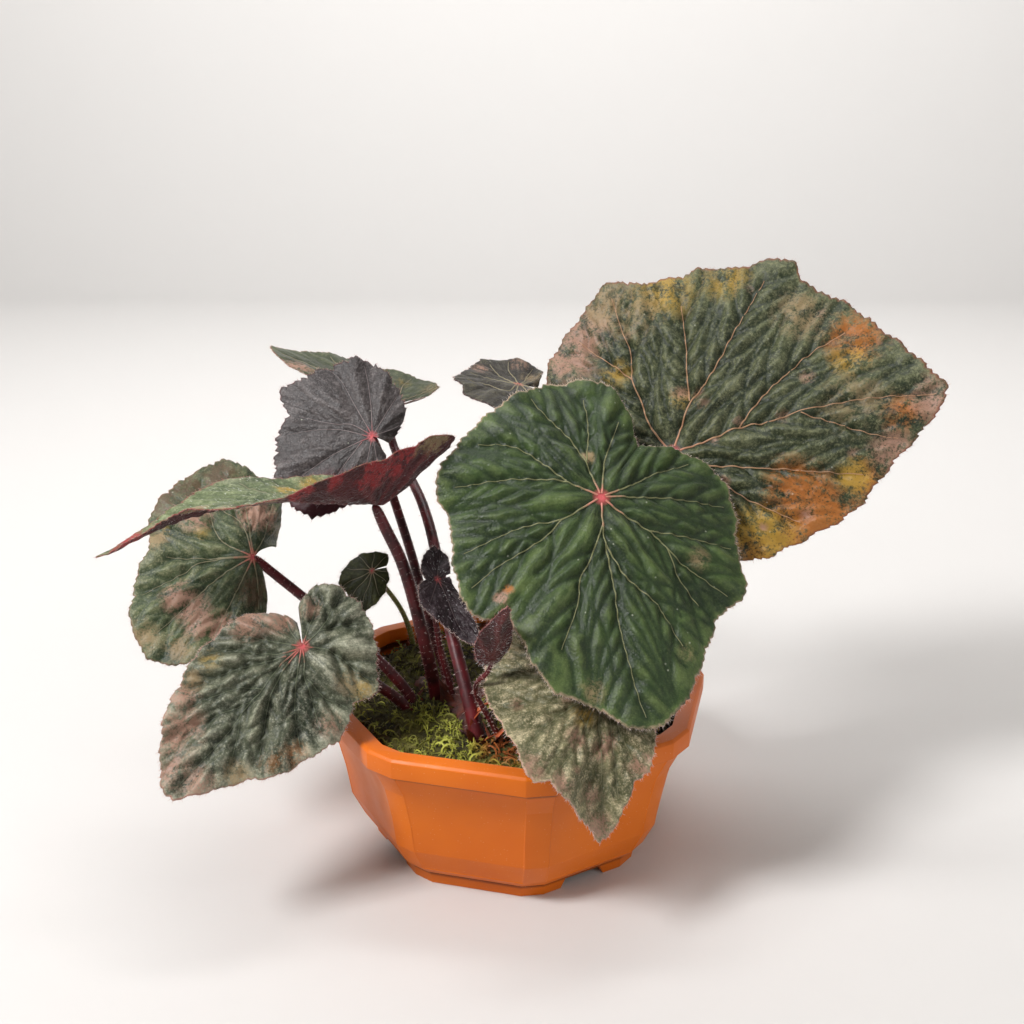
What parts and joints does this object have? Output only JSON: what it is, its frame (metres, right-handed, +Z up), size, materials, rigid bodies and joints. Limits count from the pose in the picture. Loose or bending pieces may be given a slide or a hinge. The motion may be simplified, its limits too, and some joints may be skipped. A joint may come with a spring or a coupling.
{
  "type": "potted rex begonia",
  "caption": "Rex begonia with large toothed, puckered leaves on long red stalks, rooted in moss and soil in a low octagonal bowl pot.",
  "frame": {"origin": "middle of the bottom of the whole plant's bounding box, on the surface that the pot stands on", "axes": "+Z up; +X to the viewer's right, along the plant's longest extent; -Y towards the viewer"},
  "size_m": [0.4242, 0.2586, 0.2998],
  "materials": {
    "pot": "satin",
    "soil": "matte",
    "moss": "matte",
    "rhizome": "satin",
    "stalk": "satin",
    "leaf_dark_green": "satin",
    "leaf_mottled": "satin",
    "leaf_grey_green": "satin",
    "leaf_maroon": "satin",
    "leaf_silver": "satin",
    "leaf_olive": "satin",
    "leaf_red": "satin"
  },
  "bodies": {
    "root": {"pot": "pot", "soil": "soil", "moss": "moss", "rhizome": "rhizome", "blade_front": "leaf_dark_green", "stalk_front": "stalk", "blade_tall": "leaf_mottled", "stalk_tall": "stalk", "blade_rim": "leaf_grey_green", "stalk_rim": "stalk", "blade_low": "leaf_grey_green", "stalk_low": "stalk", "blade_left": "leaf_mottled", "stalk_left": "stalk", "blade_wing": "leaf_maroon", "stalk_wing": "stalk", "blade_silver": "leaf_silver", "stalk_silver": "stalk", "blade_plate": "leaf_dark_green", "stalk_plate": "stalk", "blade_back": "leaf_mottled", "stalk_back": "stalk", "blade_olive": "leaf_olive", "stalk_olive": "stalk", "blade_maroon": "leaf_maroon", "stalk_maroon": "stalk", "blade_bud": "leaf_red", "stalk_bud": "stalk"}
  },
  "joints": []
}
